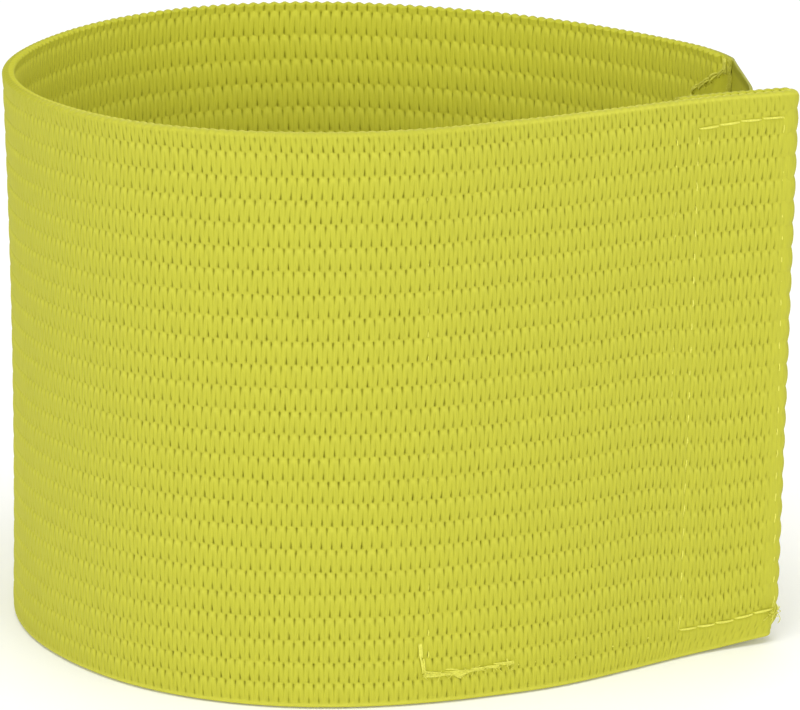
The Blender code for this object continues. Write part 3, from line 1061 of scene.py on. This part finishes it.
def stitches(line, length, peak, power=0.45, slant=0.00007, loose=0.00003):
    """A row of lockstitches along a line, as path distances, heights and lifts.

    Each rises out of the cloth to its peak and goes back in, at a slight slant.
    """
    p, z = np.array(line).T
    run = distances(np.array(line))
    count = max(1, round(run[-1] / length))
    t = np.linspace(0, 1, 13)[None, :]
    place = (np.arange(count)[:, None] + 0.02 + 0.96 * t) / count * run[-1]
    P, Z = np.interp(place, run, p), np.interp(place, run, z)
    dP, dZ = np.gradient(P, axis=1), np.gradient(Z, axis=1)
    size = np.hypot(dP, dZ)
    aside = slant * (2 * t - 1) + loose * rng.standard_normal((count, 1)) * np.sin(pi * t)
    high = peak + loose * rng.standard_normal((count, 1))
    lift = STITCH_SUNK + (high - STITCH_SUNK) * np.sin(pi * t) ** power
    return P - dZ / size * aside, Z + dP / size * aside, lift


def stitch_tubes(onto, rows, radius=THREAD, sides=8, ply=0.10):
    """Tubes for rows of stitches on one face of the cloth."""
    P, Z, lift = rows
    lines = onto(P, Z, lift)
    out = onto(P, Z, lift + 0.0001) - lines
    return tubes(lines, out, radius, sides, ply=ply)


def hairs(p, z, lift, length, count, spread, radius):
    """Loose ends of thread that stand off the band's outer face round a place."""
    t = np.linspace(0, 1, 6)[None, :]
    angle = rng.uniform(0, tau, (count, 1))
    long = length * rng.uniform(0.5, 1.2, (count, 1))
    P = p + spread * rng.standard_normal((count, 1)) + long * t * np.cos(angle)
    Z = z + spread * rng.standard_normal((count, 1)) + long * t * np.sin(angle)
    off = lift + long * rng.uniform(0.1, 0.5, (count, 1)) * np.sin(2.2 * t)
    return stitch_tubes(on_band, (P, Z, off), radius, 4, ply=0)


def back_tack():
    """The thick L where the patch's seam was sewn back over itself, with its frayed threads."""
    groups = []

    def sew(line, length, peak, radius, **how):
        groups.append(stitch_tubes(on_band, stitches(line, length, peak, **how), radius))

    for line, strands, width in ((TACK_UPRIGHT, 4, 0.00017), (TACK_LEVEL, 5, 0.00016)):
        level = line is TACK_LEVEL
        for k in range(strands):
            offset = width * (2 * k / (strands - 1) - 1)
            moved = [(p + (0 if level else offset), z + (offset if level else 0)) for p, z in line]
            moved[0] = (moved[0][0] - 0.0004 * rng.random() * level, moved[0][1])
            length = 0.0022 + 0.0012 * rng.random()
            sew(moved, length, 0.0, 0.00011, power=0.35, loose=0.00006, slant=0.00010)
    for offset in (-0.0003, -0.00005, 0.00025):
        thick = ((0.0575, 0.0044 + offset), (0.0522, 0.0045 + offset))
        sew(thick, 0.0027, 0.00006, 0.00010, loose=0.0001, slant=0.0002)
    for i in range(5):
        start = (0.0537 - 0.0004 * i, 0.0043 - 0.0001 * i)
        end = (0.0520 - 0.0002 * i, 0.0034 + 0.0002 * i)
        sew((start, end), 0.002, 0.00012, 0.00013, loose=0.00005)
    sew(((0.0455, 0.0055), (0.0453, 0.0042)), 0.0014, 0.00004, 0.00012)
    for p in np.linspace(0.0445, 0.0575, 14):
        groups.append(hairs(p, 0.0043, 0.00008, 0.0009, 4, 0.00015, 0.00004))
    return groups


def make_seams():
    """The needle and bobbin threads of the three seams."""
    thread = thread_material()
    shown, hidden = -0.00002, -0.00018  # lifts of the stitches' peaks
    # the tape starts at this path distance
    tape_offset = STRIP_LENGTH - TAPE_SEWN - FOLD_START

    def on_hooks(p, height, lift):
        return on_tape(p - tape_offset, height, HOOK_LIFT + lift)

    def on_patch(p, height, lift):
        return on_inner_face(p, height, PATCH_FACE + lift)

    def seam(onto, lines, peak, length=0.0030, power=0.45, radius=THREAD):
        rows = [stitches(line, length, peak, power=power) for line in lines]
        return [stitch_tubes(onto, row, radius) for row in rows]

    tuft = hairs(0.0001, 0.0037, 0.00002, 0.0016, 16, 0.0004, 0.00006)
    bobbin_waves = []
    for offset in (0.0, 0.00035):
        wave = [(p, z + offset) for p, z in TAPE_TOP]
        rows = stitches(wave, 0.0021, 0.00020, slant=0.00022, loose=0.00009, power=0.35)
        bobbin_waves.append(stitch_tubes(on_end_face, rows, 0.00013))
    for name, body, groups in (
        ("hem_needle", "flap",
         seam(on_band, (HEM_TOP,), shown) + seam(on_band, (HEM_BOTTOM,), 0.00003)
         + seam(on_band, (HEM_LEFT,), -0.00010, 0.0032, 7.0, 0.00011)
         + seam(on_band, (HEM_RIGHT,), -0.00016, 0.0032, 7.0, 0.00010) + [tuft]),
        ("hem_bobbin", "flap", seam(on_hem_layer, (HEM_TOP, HEM_LEFT, HEM_BOTTOM), shown)),
        ("patch_needle", "flap",
         seam(on_band, (PATCH_SEAM,), hidden, 0.0032, 7.0, 0.00010) + back_tack()),
        ("patch_bobbin", "flap", seam(on_patch, (PATCH_SEAM,), 0.00010)),
        ("tape_needle", "length_10",
         seam(on_hooks, (TAPE_TOP[1:], TAPE_LEFT, TAPE_BOTTOM), 0.00006)),
        ("tape_bobbin", "length_10",
         bobbin_waves + seam(on_end_face, (TAPE_LEFT, TAPE_BOTTOM), shown)),
    ):
        piece = tube_object(name + "_stitches", groups, thread)
        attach(piece, body)
        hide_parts(name + "_thread")


# ---- the studio


def make_camera():
    """The camera, at the photograph's angle and distance."""
    data = bpy.data.cameras.new("camera")
    data.lens = 203.6
    data.sensor_width = 36.0
    data.shift_x, data.shift_y = -0.00325, 0.00075
    data.clip_start, data.clip_end = 0.05, 50.0
    camera = scene_object("camera", data)
    camera.location = (0.0018, -0.6422, 0.1886)
    camera.rotation_euler = (radians(90 - 13.34), 0.0, 0.0)
    bpy.context.scene.camera = camera


LIGHTS = (  # (name, place, size, power)
    ("front", (0.0, -1.6, 0.46), (2.4, 0.5), 13.0),
    ("high", (0.0, -1.15, 1.45), (2.6, 1.2), 6.0),
    ("left", (-1.5, -0.5, 0.45), (1.2, 0.9), 5.0),
    ("right", (1.5, -0.5, 0.45), (1.2, 0.9), 4.0),
    ("top", (0.0, -0.2, 1.6), (1.2, 1.2), 15.0),
    ("back", (0.0, 1.6, 0.7), (1.8, 0.9), 10.0),
)


def make_studio():
    """A pale floor and soft, even light."""
    scene = bpy.context.scene
    scene.view_settings.view_transform = "Standard"
    corners = np.array([(-4, -4, -0.0001), (4, -4, -0.0001), (4, 4, -0.0001), (-4, 4, -0.0001)])
    mesh_object("floor", corners, [(np.array([(0, 1, 2, 3)]), 0)], [floor_material()])
    world = bpy.data.worlds.new("studio")
    world.use_nodes = True
    background = world.node_tree.nodes["Background"]
    background.inputs["Color"].default_value = (1.0, 1.0, 1.0, 1.0)
    background.inputs["Strength"].default_value = 0.25
    scene.world = world
    for name, place, size, power in LIGHTS:
        data = bpy.data.lights.new(name + "_softbox", "AREA")
        data.shape = "RECTANGLE"
        data.size, data.size_y = size
        data.energy = power
        lamp = scene_object(name, data)
        lamp.location = place
        aim = Vector((0.0, 0.0, 0.04)) - Vector(place)
        lamp.rotation_euler = aim.to_track_quat("-Z", "Y").to_euler()


make_camera()
make_studio()
make_band(Surface())
make_cut_fibres()
make_loop_patch()
make_hook_tape()
make_seams()
